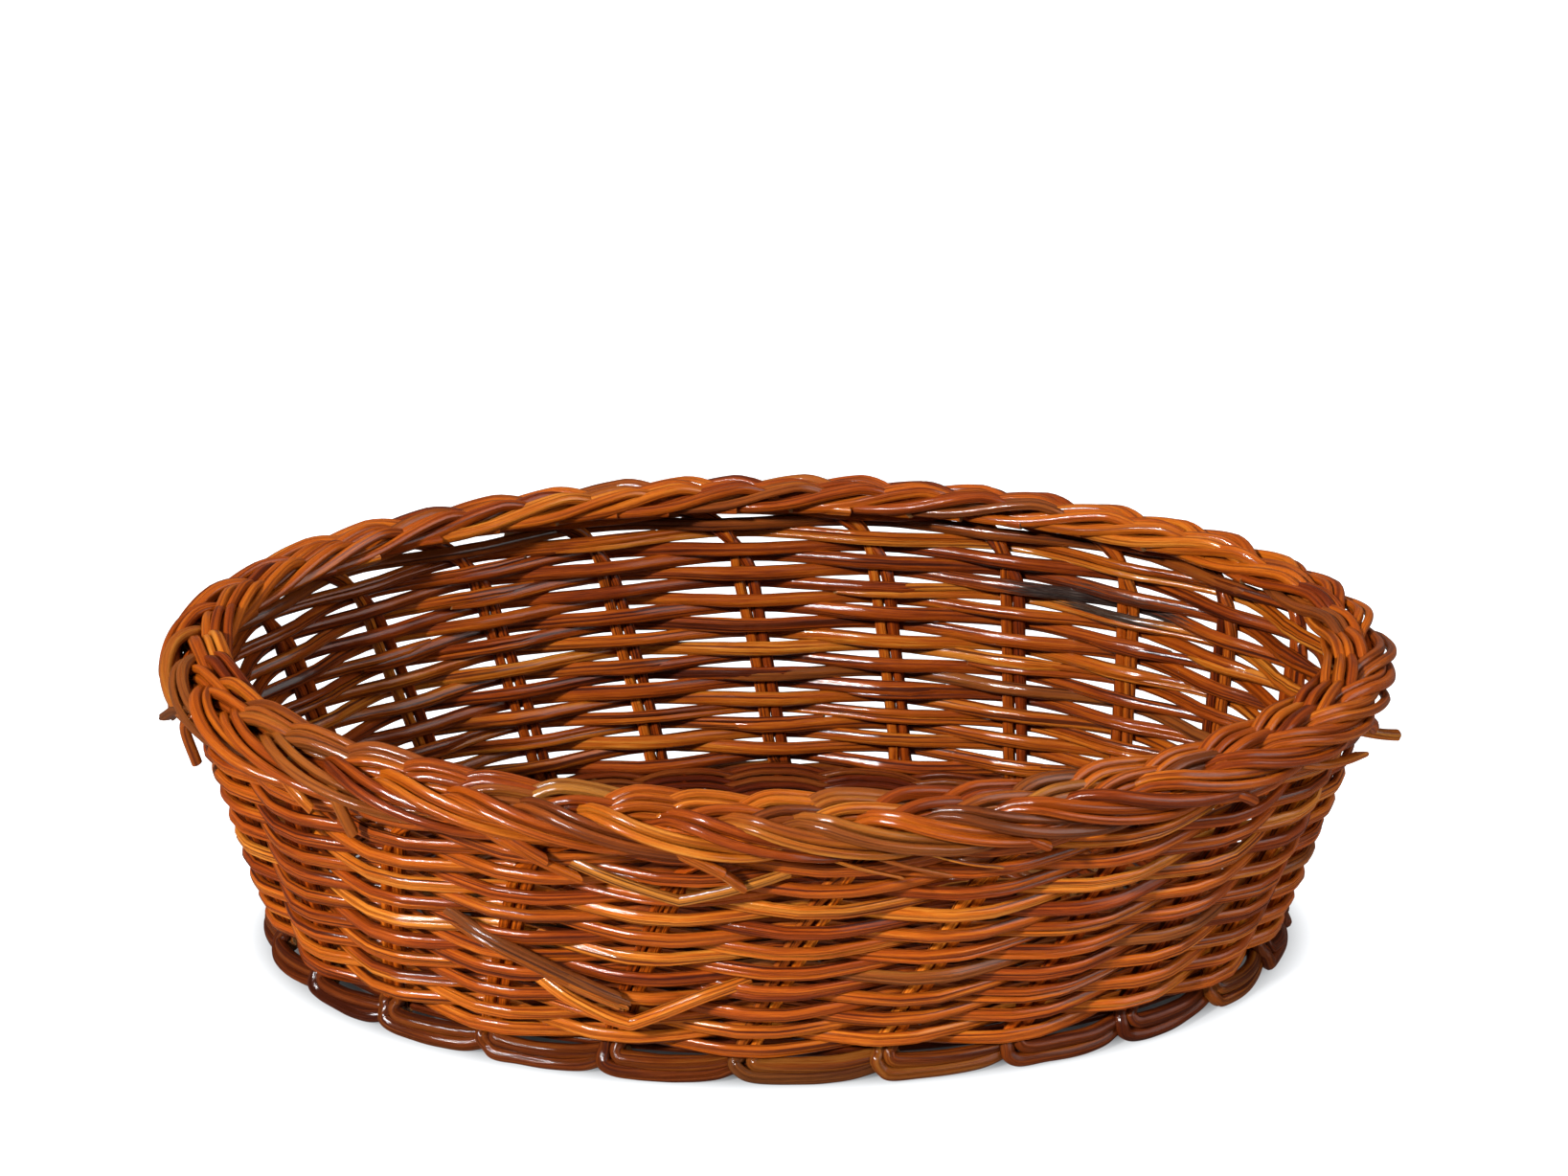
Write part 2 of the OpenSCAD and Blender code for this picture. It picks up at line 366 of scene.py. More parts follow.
def cane_material(name, shares, roughness, coat, inward_shade=0.0, streak=1.0):
    """Varnished split cane, whose fibres run along each rod. shares scale the red, green and blue of its
    colours, roughness is the least and the most, inward_shade is how far the side of a rod that faces into
    the basket is darkened as painted shade, and streak is how strongly its fibres show."""
    m = Nodes(name)
    broad = m.noise((0.035, 0.35, 1.0), 3.0)
    ridges = m.noise((0.010, 1.0, 1.0), 2.0)
    fibres = m.noise((0.05, 2.2, 1.0), 4.0, 0.62)
    fine = m.noise((0.16, 7.0, 1.0), 3.0, 0.6)
    specks = m.noise((0.7, 1.6, 1.0), 5.0, 0.7)

    level = m.maths("ADD", m.attribute("tone"), m.spread(broad, 0.40))
    level = m.maths("ADD", level, m.spread(ridges, 0.50 * streak))
    level = m.maths("ADD", level, m.spread(fine, 0.34 * streak))
    level = m.maths("ADD", level, m.spread(fibres, 0.42 * streak), clamp=True)
    stops = [(position, tuple(share * part for share, part in zip(shares, rgb))) for position, rgb in CANE]
    colour = m.ramp(level, stops)

    # Weathered rods go olive brown along their fibres, varnish gathers in the grooves and cracks, and old
    # marks go nearly black
    weathered = m.maths("MULTIPLY", m.attribute("grey"), m.maths("MULTIPLY", fibres, 1.5), clamp=True)
    colour = m.mix(weathered, colour, WEATHERED)
    colour = m.mix(m.stretch(ridges, 0.46, 0.37, 0.0, 0.8 * streak), colour, GROOVE)
    colour = m.mix(m.stretch(fibres, 0.40, 0.30, 0.0, 0.5), colour, CRACK)
    colour = m.mix(m.stretch(specks, 0.66, 0.76, 0.0, 0.75), colour, MARK)
    charred = m.maths("ADD", m.attribute("burn"), m.spread(fibres, 0.9))
    ashy = m.maths("MULTIPLY", m.maths("SUBTRACT", fine, 0.46), 5.0, clamp=True)
    colour = m.mix(m.stretch(charred, 0.30, 0.52, 0.0, 0.95), colour, m.mix(ashy, CHARCOAL, ASH))
    # Painted shade: the side of a rod that faces into the basket is darkened towards black, as if in the dim
    # inside
    colour = m.mix(m.maths("MULTIPLY", m.attribute("inner"), inward_shade), colour, PAINTED_SHADE)
    colour = m.mix(m.attribute("cut"), colour, m.mix(fine, PITH_DARK, PITH_PALE))

    relief = m.total((ridges, 1.5), (fibres, 0.8), (fine, 0.8), (specks, 0.5))
    beads = m.total((specks, 1.2), (fine, 0.8))  # the varnish has its own, weaker relief
    return m.surface({
        "Base Color": colour, "Roughness": m.stretch(fine, 0.3, 0.7, *roughness),
        "Normal": m.bump(relief, 0.7), "Coat Normal": m.bump(beads, 0.11),
        "Coat Weight": coat, "Coat Roughness": 0.13, "Coat IOR": 1.42, "Specular IOR Level": 0.04})


side_cane = cane_material("side_cane", (1.28, 1.2, 1.0), (0.35, 0.55), coat=0.7, inward_shade=0.3)
rim_cane = cane_material("rim_cane", (1.12, 1.08, 1.0), (0.32, 0.5), coat=0.75, streak=0.6)
# The stakes' colours are made paler, a painted light, since they stand in shade in the gaps between the rows
stake_cane = cane_material("stake_cane", (1.6, 1.35, 1.0), (0.35, 0.6), coat=0.3, inward_shade=0.45)
foot_cane = cane_material("foot_cane", (0.40, 0.355, 0.36), (0.35, 0.55), coat=0.35)
base_cane = cane_material("base_cane", (0.29, 0.18, 0.15), (0.4, 0.6), coat=0.15)


# ---------------------------------------------------------------- the side weave

ROW_RINGS = 0.09  # from one ring of a row to the next, in stake pairs
ROW_DRIFT = 0.35
ROW_CREST = 0.975  # 1 would turn a row sharply from one side of the wall to the other
DOUBLED_ROWS = 0.35  # share of the lengths that are two thin rods
DOUBLED_APART = 1.05  # how far each of the two is from the middle of their row
DOUBLED_DEEP, DOUBLED_TALL = 0.82, 1.12  # their sizes, as shares of a row's depth and of half its height
START_REACH, END_REACH = 0.42, 0.4  # how far a length goes past the pairs at its joints, in pairs
OVERLAP = np.array([-0.5, 0.6])  # where a length comes in over the last one, in pairs from the joint
OVERLAP_LIFT = 0.9  # how far one length is lifted, and the other lowered, where they meet
THIN_ROW_SHARE, THIN_ROW_DROP = 0.75, 1.4  # the row above the CAD model's top one, against the plait
SCORCHED_SPOT, SCORCHED_REACH = np.array([110.0, 90.0, 77.0]), np.array([34.0, 30.0, 4.4])


def scorch(path):
    """The charred stretch of a few weavers, inside the wall at the back."""
    away = (path - SCORCHED_SPOT) / SCORCHED_REACH
    return np.exp(-(away**2).sum(1))


def slants(rng):
    """How a length of cane is cut at its two ends."""
    return rng.uniform(0.3, 1.2), rng.uniform(0.3, 1.2)


def row_path(rng, q, z, inside_first, swing, drift):
    """A row of the side weave at pair positions q: flat over each pair of stakes, straight between them."""
    for wavelength, share in ((5.0, 1), (1.6, 0.35), (0.5, 0.12)):
        z = z + wander(rng, q, wavelength, drift * share)
    ease = np.arcsin(ROW_CREST * np.cos(np.pi * (q - 1))) / np.arcsin(ROW_CREST)
    out = inside_first * swing * np.clip(1.25 * ease, -1, 1) + wander(rng, q, 3.0, 0.18)
    tilted = math.sin(ROW_TILT) * np.clip((z - 12) / 8, 0, 1)  # the lowest rows lie level, clear of the foot
    path, normal = wall(pair_angle(q, z), z - out * tilted, out * math.cos(ROW_TILT))
    return path, normal - np.array([0, 0, FLARE / (RIM_Z - BASE_Z)])


def row_joints(rng, even):
    """Pair positions where the two or three lengths of a row meet, each inside a pair of stakes."""
    lengths = 3 if rng.random() < 0.6 else 2
    joints = np.arange(lengths) * STAKE_PAIRS / lengths + rng.uniform(0, 8) + rng.integers(0, 2, lengths)
    joints = np.sort(joints % STAKE_PAIRS) + 1
    return np.round((joints - even) / 2) * 2 + even


def side_row(row):
    """One row, pieced together from two or three lengths, some of them of two thin rods lying together."""
    rng = np.random.default_rng(ROW_SEED + row)
    bundle = Bundle(f"weave_row_{row:02d}")
    even, thin = (row + 1) % 2, row > ROWS
    z = FIRST_ROW_Z + (row - 1) * ROW_PITCH - (THIN_ROW_DROP if thin else 0)
    inside_first = -1 if even else 1
    joints = row_joints(rng, even)
    for start, end in zip(joints, [*joints[1:], joints[0] + STAKE_PAIRS]):
        q = np.arange(start - START_REACH, end + END_REACH, ROW_RINGS)
        # A row is a little taller and flatter where it lies on a pair of stakes
        over_pair = np.abs(np.cos(np.pi * (q - 1)))
        tall = (ROW_TALL + 0.2 * over_pair**2) * (THIN_ROW_SHARE if thin else 1)
        deep = ROW_DEEP - 0.3 * over_pair**2
        lift = np.interp(q, start + OVERLAP, [OVERLAP_LIFT, 0])
        middle = z + lift - np.interp(q, end - OVERLAP[::-1], [0, OVERLAP_LIFT])
        if rng.random() < DOUBLED_ROWS:
            base_tone = rod_tone(rng)
            for part in (-DOUBLED_APART, DOUBLED_APART):
                share = DOUBLED_TALL * rng.uniform(0.44, 0.56)
                swing = ROW_SWING + rng.uniform(-0.2, 0.2)
                path, normal = row_path(rng, q, middle + part, inside_first, swing, ROW_DRIFT * 0.7)
                tone = np.clip(base_tone + rng.uniform(-0.2, 0.2), 0, 1)
                bundle.rod(path, normal, deep * DOUBLED_DEEP, tall * share, rng, tone=tone,
                           cuts=slants(rng), taper=3, burn=scorch)
        else:
            path, normal = row_path(rng, q, middle, inside_first, ROW_SWING, ROW_DRIFT)
            bundle.rod(path, normal, deep, tall * rng.uniform(0.92, 1.04), rng, cuts=slants(rng), taper=3,
                       burn=scorch)
    bundle.build(side_cane, "side_weaver", f"side_row_{min(row, ROWS):02d}")


# ---------------------------------------------------------------- stakes and foot

# Each stake as (pairs along, out from the wall, height), from inside the rim down to its cut end in the foot
OUTER_STAKE = [
    (1.50, 2.5, 102.4), (1.20, 2.4, 101.8), (0.85, 2.2, 100.8), (0.50, 1.7, 98.8), (0.30, 0.9, 95.5),
    (0.15, 0.3, 90.5), (0.05, 0, 84), (0, 0, 76), (0, 0, 60), (0, 0, 42), (0, 0, 26), (0, 0.3, 14),
    (-0.01, 1.6, 9.8), (-0.02, 3.8, 7.2), (0.02, 5.6, 4.6), (0.11, 6.4, 3.0), (0.30, 6.6, 2.7),
    (0.55, 6.3, 2.7), (0.80, 5.0, 3.1), (0.97, 2.8, 4.4), (1.08, 1.4, 6.0), (1.17, 1.6, 7.2)]
INNER_STAKE = [
    (1.00, 1.0, 103.0), (0.70, 0.2, 102.4), (0.42, -0.6, 100.8), (0.20, -0.7, 97.8), (0.06, -0.3, 93),
    (0, 0, 85), (0, 0, 76), (0, 0, 60), (0, 0, 42), (0, 0, 26), (0, 0.2, 15), (0.0, 1.2, 11.2),
    (0.02, 2.8, 9.4), (0.08, 4.4, 7.8), (0.20, 5.0, 7.1), (0.42, 4.8, 6.8), (0.66, 4.0, 6.7),
    (0.86, 2.2, 6.9), (1.00, 0.0, 7.8), (1.09, -1.6, 8.8)]
FOOT_TOP = 12  # below this a stake belongs to the foot's bends
SPLIT_Z = 12.5  # where the stakes' pieces end and the foot's begins
WALL_FOOT = 16  # above this the rows hold a stake


def stake_path(rng, pair, plan, side):
    """Path of a stake, its outward directions and its thickness. side is -1 or 1, its place in the pair."""
    plan = np.array(plan)
    below = plan[:, 2] < FOOT_TOP
    count = below.sum()
    plan[below] += np.stack([rng.normal(0, 0.012, count), rng.normal(0, 0.25, count),
                             np.abs(rng.normal(0, 0.2, count))], -1)
    q, out, z = spline(plan, 150).T
    gap = np.interp(z, [12, 90], STAKE_GAP)
    apart = np.interp(z, [4 if side < 0 else 7, FOOT_TOP], [0, 1])
    path, normal = wall(pair_angle(pair + q, z), z, out)
    along = np.cross([0, 0, 1.0], normal)
    sway = wander(rng, np.arange(len(q)) * 1.5, 60, 0.28)
    path = path + along * (side * gap / 2 * apart + sway * (z > WALL_FOOT))[:, None]
    # The rows push a stake in and out by a hair as they pass it
    push = 0.25 * np.cos(np.pi * ((z - FIRST_ROW_Z) / ROW_PITCH + pair))
    path = path + normal * np.where(z > WALL_FOOT, push, 0)[:, None]
    thickness = np.interp(z, [7, FOOT_TOP], [FOOT_D, STAKE_D]) * rng.uniform(0.92, 1.08)
    path[:, 2] = np.maximum(path[:, 2], thickness * 0.53)
    return path, normal, thickness


def stakes_and_foot():
    """The pairs of stakes, each its own piece down to the base, and the foot made of their lower ends."""
    foot = Bundle("foot_border_rods")
    for pair in range(1, STAKE_PAIRS + 1):
        rng = np.random.default_rng(STAKE_SEED + pair)
        stakes = Bundle(f"stakes_{pair:02d}")
        for plan, side in ((OUTER_STAKE, -1), (INNER_STAKE, 1)):
            path, normal, thickness = stake_path(rng, pair, plan, side)
            split = int(np.argmax(path[:, 2] < SPLIT_Z))
            look = {"tone": rng.beta(3, 3.4), "grey": 0.5 if rng.random() < 0.08 else 0.05}
            # Both pieces make the same rod and keep a part of it each, so both start from the same numbers
            state = rng.bit_generator.state
            foot_cut = rng.uniform(-0.6, 0.6)
            for bundle, keep, cut in ((stakes, (0, split + 1), 0), (foot, (split, len(path)), foot_cut)):
                rng.bit_generator.state = state
                bundle.rod(path, normal, thickness, thickness, rng, keep=keep, cuts=(0, cut), **look)
        stakes.build(stake_cane, "stake", f"stake_pair_{pair:02d}")
    foot.build(foot_cane, "foot_rod", "foot_border")


# ---------------------------------------------------------------- the plaited rim

# How high a way round the rim lies in the plait, as (phase, share of the lift). A phase of 0 is the plait's
# middle, going outwards, 90 is its outer edge, 180 its middle again, going inwards, and 270 its inner edge.
# The wide ways stay hidden on the outer half and come up late to cover the inner edge. The narrow ones cover
# the outer half, and turn back early on the inner one.
WIDE_LEVELS = [
    (-60, -0.8), (60, -1.1), (120, -1.1), (176, -1), (192, -0.2), (208, 1.0), (236, 0.7), (262, 0.1),
    (290, -0.6), (322, -0.8), (400, -0.8)]
NARROW_LEVELS = [
    (-60, -0.6), (-22, -0.9), (-6, 0.1), (12, 1.15), (38, 0.85), (70, 0.15), (100, -0.45), (130, -0.9),
    (160, -0.9), (174, 0.1), (190, 1.1), (222, 0.8), (250, 0), (280, -0.9), (400, -0.6)]
# Shares of the swing on the outer half and on the inner one, and how abruptly a way turns along their edges
WIDE_REACH, NARROW_REACH = (0.3, 1.0), (1.0, 0.45)
WIDE_TURN, NARROW_TURN = (0.45, 0.75), (0.45, 0.5)
PLAIT_PHASES = np.arange(-46, 346, 6.0)
PLAIT_BANK = math.radians(12)
STACK_STEP = 3.4  # from the upper to the lower of two rods that lie one under the other
WAY_SIZES = ((3.7, 3.2), (3.2, 3.7), (4.0, 2.7), (4.5,))  # thicknesses of the rods that lie side by side
WAY_CHANCES = (0.30, 0.30, 0.24, 0.16)


def plait_plane(normal):
    """Directions across the plait and out of its face, which tips outwards, square to the leaning wall."""
    tip, up = math.radians(PLAIT_TIP), np.array([0, 0, 1.0])
    return normal * math.cos(tip) - up * math.sin(tip), normal * math.sin(tip) + up * math.cos(tip)


def plait_centre(phase, pass_number, breadth, wide):
    """Middle of a way from the rim's inner edge to its outer one and back, and the plait's directions."""
    even = 360 * (pass_number + phase * PLAIT_WAYS / 360) / (PLAIT_WAYS * PLAIT_TURNS)
    t = even + PLAIT_EVEN * np.sin(np.radians(2 * even))
    path, normal = wall(t, np.full_like(t, RIM_Z), -PLAIT_INSET)
    outward, upward = plait_plane(normal)
    across = np.sin(np.radians(phase))
    reach = np.where(across > 0, *(WIDE_REACH if wide else NARROW_REACH))
    abrupt = np.where(across > 0, *(WIDE_TURN if wide else NARROW_TURN))
    swing = PLAIT_SWING * breadth * reach * across / np.sqrt(abrupt * across**2 + 1 - abrupt)
    levels = np.array(WIDE_LEVELS if wide else NARROW_LEVELS)
    # The mean of five places near by takes the corners off
    level = np.interp(phase[:, None] + np.linspace(-14, 14, 5), levels[:, 0], levels[:, 1]).mean(1)
    return path + outward * swing[:, None] + upward * (PLAIT_LIFT * level)[:, None], outward, upward


def plait_pass(bundle, way, turn):
    """One crossing of the rim from its inner edge to the outer one and back, by one rod or two."""
    rng = np.random.default_rng(PLAIT_SEED + 20 * way + turn)
    phase = PLAIT_PHASES
    pass_number = way + turn * PLAIT_WAYS
    wide = pass_number % 2 == 0
    shift, breadth = rng.uniform(-0.22, 0.22), rng.uniform(0.88, 1.06)
    centre, outward, upward = plait_centre(phase, pass_number + shift, breadth, wide)
    tangent = unit(np.gradient(centre, axis=0))
    bank = PLAIT_BANK * np.sin(np.radians(phase))
    face = outward * np.sin(bank)[:, None] + upward * np.cos(bank)[:, None]
    across = unit(np.cross(tangent, face))
    face = np.cross(across, tangent)
    sizes = WAY_SIZES[rng.choice(len(WAY_SIZES), p=WAY_CHANCES)]
    way_tone = rng.beta(3.2, 3.2)
    grey = rng.uniform(0.3, 0.8) if rng.random() < 0.18 else 0.03
    steps = np.arange(len(phase), dtype=float)
    buried = 1 - np.minimum(1, np.minimum(steps, steps[::-1]) / 8)
    # Two rods bunch up where they come out of the plait, and fan apart on their way to its edge. On the inner
    # side the two of a narrow way lie one under the other.
    fan = 1.0 + rng.uniform(0.1, 0.28) * np.abs(np.sin(np.radians(phase))) ** 0.7
    stacked = np.interp(phase, [100, 150, 250, 310], [0, 0, 0, 0] if wide else [0, 1, 1, 0])
    place = -sum(sizes) / 2
    for i, size in enumerate(sizes):
        offset = (place + size / 2) * fan * (1 - 0.85 * stacked) + wander(rng, steps, 50, 0.3)
        place += size
        rise = wander(rng, steps, 40, 0.25) - 0.4 * buried - STACK_STEP * i * stacked
        path = centre + across * offset[:, None] + face * rise[:, None]
        d = size * rng.uniform(0.94, 1.04)
        tone = np.clip(way_tone + rng.uniform(-0.12, 0.12), 0, 1)
        cuts = (rng.uniform(-0.8, 0.8), rng.uniform(-0.8, 0.8))
        bundle.rod(path, across, d, d, rng, tone=tone, grey=grey, cuts=cuts)


def plait_strand(strand):
    """Two or three of the ways round the rim, which together stand for one strand of the CAD model. A way is
    pieced together, hidden in the plait, from the upper ends of the stakes."""
    bundle = Bundle(f"plait_strand_{strand}")
    for way in range(strand - 1, PLAIT_WAYS, PLAIT_STRANDS):
        for turn in range(PLAIT_TURNS):
            plait_pass(bundle, way, turn)
    bundle.build(rim_cane, "rim_rod", f"rim_plait_strand_{strand}")


# ---------------------------------------------------------------- loose ends

# Rods that stand out of the weave: name, tone, greyness, width, height, slant of the free end, and points as
# (angle, out from the wall, height)
LOOSE_RODS = [
    ("stub_hanging_left", 0.45, 0.3, 3.4, 3.2, 0.1,
     [(200, 3, 102), (198.8, 7.6, 99.5), (198.2, 9.3, 95), (197.9, 9.5, 83)]),
    ("stub_pointed_left", 0.15, 0.7, 5.2, 3.6, 1.7,
     [(200, 2, 104), (197, 6, 101), (194.6, 8.6, 98.4), (193.2, 10.4, 95.8)]),
    ("stub_blunt_right", 0.72, 0.15, 4.4, 4.0, 0.3,
     [(346, 3, 90), (347.6, 9, 87.6), (348.5, 13.5, 86.6), (349.1, 17, 86.2)]),
    ("stub_pointed_right", 0.70, 0.0, 3.6, 2.6, 2.0,
     [(328, 5, 97), (331.6, 8.4, 94), (335, 9.8, 92), (338.4, 11, 90.6)]),
    ("stub_hanging_front", 0.62, 0.45, 4.0, 3.8, 0.3,
     [(225, 3, 101.5), (226.4, 7.5, 99.5), (227, 8.6, 95), (227.6, 8.8, 87.5)]),
    ("stub_short_front", 0.55, 0.0, 3.6, 3.2, 1.2,
     [(241, 4, 101), (245, 7.6, 96), (249, 8.6, 90), (251.6, 8.4, 86)]),
    ("stub_front", 0.62, 0.1, 4.2, 3.6, 1.2,
     [(260, 5, 99.5), (262.6, 7.6, 96.5), (265, 8.4, 91.5), (266.6, 8.2, 86.5)]),
    ("weaver_kinked_tan", 1.0, 0.4, 2.6, 3.8, 0.8,
     [(249, 0.5, 89.5), (254, 5.6, 85.8), (257.5, 6.2, 81.8), (260.6, 6.6, 78.6), (261.4, 6.6, 78.6),
      (265, 6.0, 82), (268, 4.6, 85), (271, 1.0, 87)]),
    ("weaver_broken_upper", 0.28, 0.75, 3.6, 3.8, 0.9,
     [(235, 0.5, 58), (240, 5.6, 54), (245, 7.4, 48.4), (250, 8.2, 41.5), (253.8, 8.2, 36.2)]),
    ("weaver_broken_lower", 0.62, 0.45, 3.4, 3.6, 1.3,
     [(235, 0.5, 54.5), (240, 5.2, 50.6), (245, 7.0, 45.2), (250, 7.6, 38.2), (253.2, 7.8, 33.6)]),
    ("torn_fibre_a", 0.20, 0.8, 1.4, 1.7, 1.6, [(249, 9.0, 43.6), (252, 9.6, 39.2), (254.9, 9.2, 35.2)]),
    ("torn_fibre_b", 0.75, 0.4, 1.2, 1.5, 1.8, [(249, 9.0, 40.4), (252, 9.4, 36.6), (254.6, 9.0, 33.0)]),
    ("torn_fibre_c", 0.45, 0.6, 1.2, 1.3, 1.8, [(249, 8.6, 38.2), (251.6, 9.0, 35.0), (254.0, 8.6, 31.8)]),
    ("weaver_kinked_orange", 0.78, 0.0, 3.2, 4.6, 0.8,
     [(243.6, 0.5, 38), (248, 6.2, 33), (252, 8.2, 28), (254.3, 8.4, 25.8), (255.2, 8.4, 26),
      (258.5, 7.2, 31), (262.5, 5.2, 37), (267, 0.5, 41)]),
    ("splinter_a", 0.70, 0.4, 1.6, 1.3, 2.0, [(273, 5, 98), (277, 8.2, 93.5), (281, 8.8, 89)]),
    ("splinter_b", 0.55, 0.6, 1.8, 1.4, 2.0, [(277, 5, 98), (281.5, 8.4, 93), (285.5, 9, 88.5)]),
    ("splinter_c", 0.85, 0.2, 1.4, 1.2, 2.0, [(283, 6, 97), (287, 8.4, 92.5), (290.5, 8.8, 89.5)]),
]
TRIMMED_ENDS = 14
TRIMMED_END = [(0, 1.5, 100.5), (2.4, 6.0, 98.5), (4.6, 8.2, 95.5), (6.2, 8.8, 92.5)]


def loose_rods():
    """The odd rods that were left long, kinked or broken."""
    for i, (name, tone, grey, width, height, slant, points) in enumerate(LOOSE_RODS):
        t, out, z = spline(points, 12 * len(points)).T
        path, normal = wall(t, z, out)
        bundle = Bundle(name)
        bundle.rod(path, normal, width, height, np.random.default_rng(LOOSE_SEED + i), tone=tone, grey=grey,
                   cuts=(0.5, slant))
        bundle.build(rim_cane if "stub" in name else side_cane, "side_weaver")


def trimmed_ends():
    """The short ends of rods that stick out under the plait, all the way round."""
    ends = Bundle("trimmed_ends")
    top = TRIMMED_END[0][2]
    for i in range(TRIMMED_ENDS):
        rng = np.random.default_rng(TRIMMED_SEED + i)
        start, reach = 360 * (i + rng.uniform(0, 0.7)) / TRIMMED_ENDS, rng.uniform(0.6, 1.15)
        t, out, z = spline(TRIMMED_END, 30).T
        path, normal = wall(start + t * reach, top + (z - top) * reach, out)
        d = rng.uniform(3.2, 4.3)
        ends.rod(path, normal, d * 0.85, d, rng, cuts=(0.3, rng.uniform(0.3, 1.6)))
    ends.build(rim_cane, "rim_rod")


# ---------------------------------------------------------------- the base

WEAVERS_PER_ROUND = 5
WEAVER_RISE = 2.4  # how far a weaver of the base goes over and under the sticks
WEAVERS_OUT = 1.4  # all of them are moved out by this, against the wall
WEAVER_STEP = 3.6  # about how far it is from ring to ring of a weaver
BASE_EDGE = ((-4.9, 9.2, 3.2), (-2.1, 8.4, 3.0))  # each rod's place out from the wall, height and thickness


def base_oval(inside):
    """Half length and half width of the base's outline, a distance inside its edge."""
    return BASE_HALF[0] - BASE_INSET - inside, BASE_HALF[1] - BASE_INSET - inside


def oval_points(a, b, t):
    """x and y of the points at angles t of an oval with half length a and half width b."""
    return a * np.cos(np.radians(t)), b * np.sin(np.radians(t))


def stick_places():
    """How far along the base each cross stick lies."""
    return [(i - (CROSS_STICKS - 1) / 2) * CROSS_STICK_STEP for i in range(CROSS_STICKS)]


def base_sticks():
    """The cross sticks, swollen at the slit that the long sticks pass through, and the long sticks."""
    rng = np.random.default_rng(STICK_SEED)
    a, b = base_oval(0)
    cross = Bundle("cross_sticks")
    for x in stick_places():
        reach = b * math.sqrt(1 - (x / a) ** 2) - 1
        y = np.linspace(-reach, reach, 60)
        path = np.stack([x + wander(rng, y, 120, 0.5), y, np.full_like(y, BASE_Z)], -1)
        opened = 1 + 0.35 * np.exp(-((y / 8) ** 2))
        width, height = CROSS_STICK_SIZE
        cross.rod(path, np.tile([1.0, 0, 0], (len(y), 1)), width * opened, height, rng)
    cross.build(base_cane, "base_stick", "base_cross_sticks")
    long = Bundle("long_sticks")
    x = np.linspace(2 - a, a - 2, 130)
    for i in range(LONG_STICKS):
        y = (i - (LONG_STICKS - 1) / 2) * LONG_STICK_STEP + wander(rng, x, 120, 0.25)
        path = np.stack([x, y, np.full_like(x, BASE_Z)], -1)
        long.rod(path, np.tile([0, 1.0, 0], (len(x), 1)), *LONG_STICK_SIZE, rng)
    long.build(base_cane, "base_stick", "base_long_sticks")


def weaver_height(weaver, a, t):
    """1 where a weaver of the base is over a stick, -1 where it is under one, and smooth in between. a is
    half the length of its oval."""
    stops, ups = [0.0, 180.0], [(-1) ** (weaver + 1), (-1) ** (weaver + CROSS_STICKS)]
    for i, x in enumerate(stick_places()):
        if abs(x) < a - 2:
            angle = math.degrees(math.acos(x / a))
            stops += [angle, 360 - angle]
            ups += [(-1) ** (i + weaver), (-1) ** (i + weaver + 1)]
    order = np.argsort(stops)
    stops, ups = np.array(stops)[order], np.array(ups, float)[order]
    height = np.interp(t % 360, np.concatenate([stops - 360, stops, stops + 360]), np.tile(ups, 3))
    return np.sin(np.clip(height * 1.3, -1, 1) * np.pi / 2)


def base_round(number):
    """Five weavers of the base, over and under its sticks, the first round at its edge."""
    spacing = base_oval(0)[1] / BASE_ROUNDS / WEAVERS_PER_ROUND
    bundle = Bundle(f"base_weave_{number}", sides=8)
    for weaver in range((number - 1) * WEAVERS_PER_ROUND, number * WEAVERS_PER_ROUND):
        rng = np.random.default_rng(BASE_WEAVER_SEED + weaver)
        a, b = base_oval((weaver + 0.5) * spacing - WEAVERS_OUT)
        b = max(b, 1.5)
        count = max(60, int(2 * np.pi * math.hypot(a, b) / math.sqrt(2) / WEAVER_STEP))
        # Even steps of length round the oval
        t = np.linspace(0, 360, 1441)
        length = distance(np.stack(oval_points(a, b, t), -1))
        t = np.interp(np.linspace(0, length[-1], count), length, t) + rng.uniform(0, 360)
        z = BASE_Z + WEAVER_RISE * weaver_height(weaver, a, t) + wander(rng, t, 60, 0.2)
        drift = wander(rng, t, 80, 0.25)
        path = np.stack([*oval_points(a + drift, b + drift, t), z], -1)
        outward = np.stack([*oval_points(b, a, t), 0 * t], -1)
        bundle.rod(path, outward, *BASE_WEAVER_SIZE, rng, cuts=(0.6, 0.6))
    bundle.build(base_cane, "base_weaver", f"base_round_{number}")


def base_edge():
    """The rods laid round the base's edge, under the first row of the side, which close the corner."""
    edge = Bundle("base_edge_rods")
    for i, (out, z, d) in enumerate(BASE_EDGE):
        rng = np.random.default_rng(BASE_EDGE_SEED + i)
        t = np.arange(0, 361, 1.5) + rng.uniform(0, 360)
        path, normal = wall(t, z + wander(rng, t, 50, 0.25), out + wander(rng, t, 40, 0.3))
        edge.rod(path, normal, d, d, rng, cuts=(0.6, 0.6))
    edge.build(base_cane, "base_weaver")


for row in range(1, ROWS + 2):
    side_row(row)
stakes_and_foot()
for strand in range(1, PLAIT_STRANDS + 1):
    plait_strand(strand)
loose_rods()
trimmed_ends()
base_sticks()
for number in range(1, BASE_ROUNDS + 1):
    base_round(number)
base_edge()


# ---------------------------------------------------------------- floor, light and camera

FLOOR_HALF = 6  # metres
FLOOR_GLOW = (0.02, 1.3)  # under the basket, where it paints the basket's shadow, and away from it
GLOW_EDGE = (0.94, 1.15)  # where the glow starts and is full, in shares of the base's outline


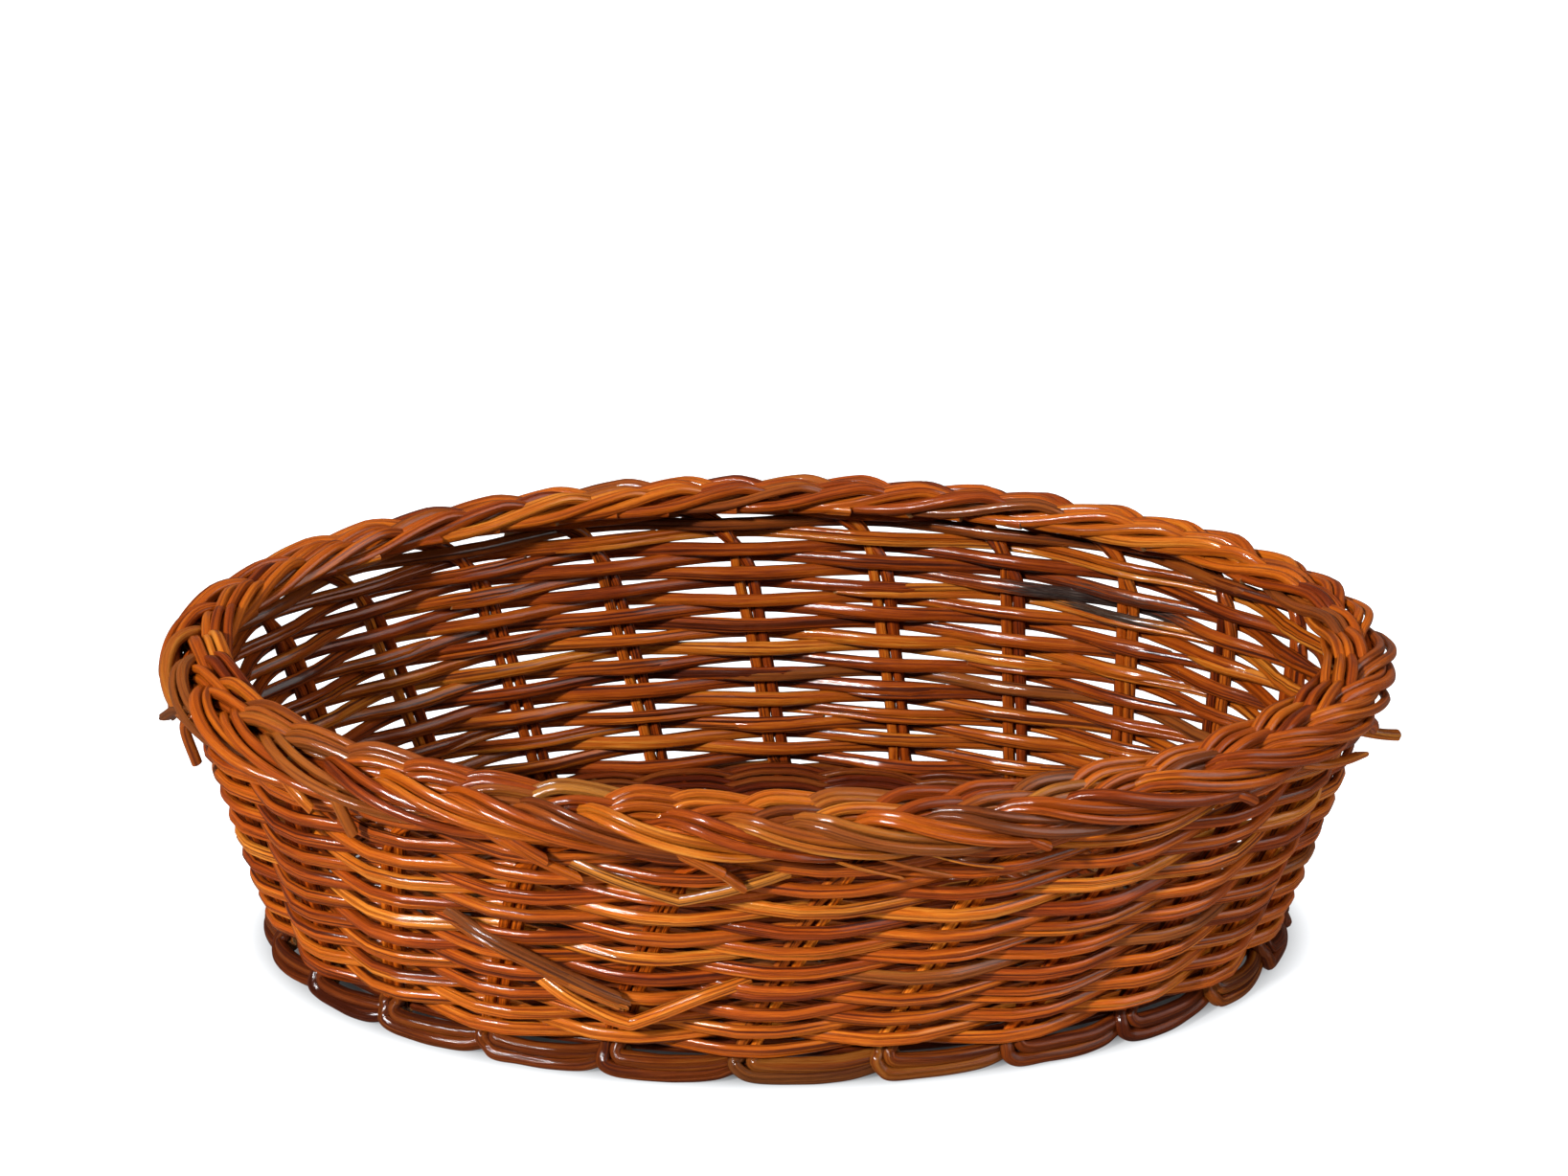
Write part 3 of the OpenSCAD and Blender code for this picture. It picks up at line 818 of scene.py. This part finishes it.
def floor_material():
    """A dark floor that glows white all round the basket, a painted light which keeps the shadows faint, and
    glows hardly at all under it, which paints the basket's shadow there."""
    m = Nodes("glowing_floor")
    place = m.node("ShaderNodeTexCoord").outputs["Object"]
    scale = (1 / (BASE_HALF[0] * MM), 1 / (BASE_HALF[1] * MM), 0)
    oval = m.node("ShaderNodeMapping", {"Vector": place, "Scale": scale}).outputs["Vector"]
    away = m.node("ShaderNodeVectorMath", {0: oval}, operation="LENGTH").outputs["Value"]
    ends = {"Value": away, "From Min": GLOW_EDGE[0], "From Max": GLOW_EDGE[1], "To Min": FLOOR_GLOW[0],
            "To Max": FLOOR_GLOW[1]}
    # The glow fades to almost nothing inside the oval under the basket: a painted shadow
    glow = m.node("ShaderNodeMapRange", ends, interpolation_type="SMOOTHSTEP").outputs["Result"]
    return m.surface({"Base Color": (0.12, 0.12, 0.12, 1), "Roughness": 0.7, "Specular IOR Level": 0.0,
                      "Emission Color": (0.96, 0.98, 1.0, 1), "Emission Strength": glow})


floor_mesh = bpy.data.meshes.new("floor")
corners = [(-FLOOR_HALF, -FLOOR_HALF, 0), (FLOOR_HALF, -FLOOR_HALF, 0), (FLOOR_HALF, FLOOR_HALF, 0),
           (-FLOOR_HALF, FLOOR_HALF, 0)]
floor_mesh.from_pydata(corners, [], [(0, 1, 2, 3)])
floor_mesh.materials.append(floor_material())
floor = bpy.data.objects.new("floor", floor_mesh)
bpy.context.scene.collection.objects.link(floor)
floor.visible_glossy = False  # its glow would make a haze on the varnish of the rods' lower sides

world = bpy.data.worlds.new("studio")
bpy.context.scene.world = world
world.use_nodes = True
background = world.node_tree.nodes["Background"]
background.inputs["Color"].default_value = (1.0, 0.88, 0.78, 1)
background.inputs["Strength"].default_value = 0.14


def lamp(name, azimuth, height, strength, spread, glossy=True):
    """Soft studio light from far away. azimuth is round from the camera's side, positive to the right, and
    height is above the floor, both in degrees, as spread is."""
    data = bpy.data.lights.new(name, "SUN")
    data.energy, data.angle = strength, math.radians(spread)
    light = bpy.data.objects.new(name, data)
    light.rotation_euler = (math.radians(90 - height), 0, math.radians(azimuth))
    light.visible_glossy = glossy
    bpy.context.scene.collection.objects.link(light)


lamp("key", azimuth=-42, height=34, strength=6.8, spread=6)
lamp("overhead", azimuth=-150, height=76, strength=2.0, spread=45, glossy=False)
lamp("side", azimuth=66, height=32, strength=1.8, spread=50)

CAMERA_DISTANCE, CAMERA_TILT = 1.4764, 0.4445  # metres and radians
LOOK_AT = (0.0022, 0.0, 0.1256)
camera_data = bpy.data.cameras.new("camera")
camera_data.sensor_width = 36
camera_data.lens = 104.8
camera = bpy.data.objects.new("camera", camera_data)
camera.location = (LOOK_AT[0], LOOK_AT[1] - CAMERA_DISTANCE * math.cos(CAMERA_TILT),
                   LOOK_AT[2] + CAMERA_DISTANCE * math.sin(CAMERA_TILT))
camera.rotation_euler = (math.pi / 2 - CAMERA_TILT, 0, 0)
bpy.context.scene.collection.objects.link(camera)
bpy.context.scene.camera = camera
bpy.context.scene.view_settings.view_transform = "Standard"
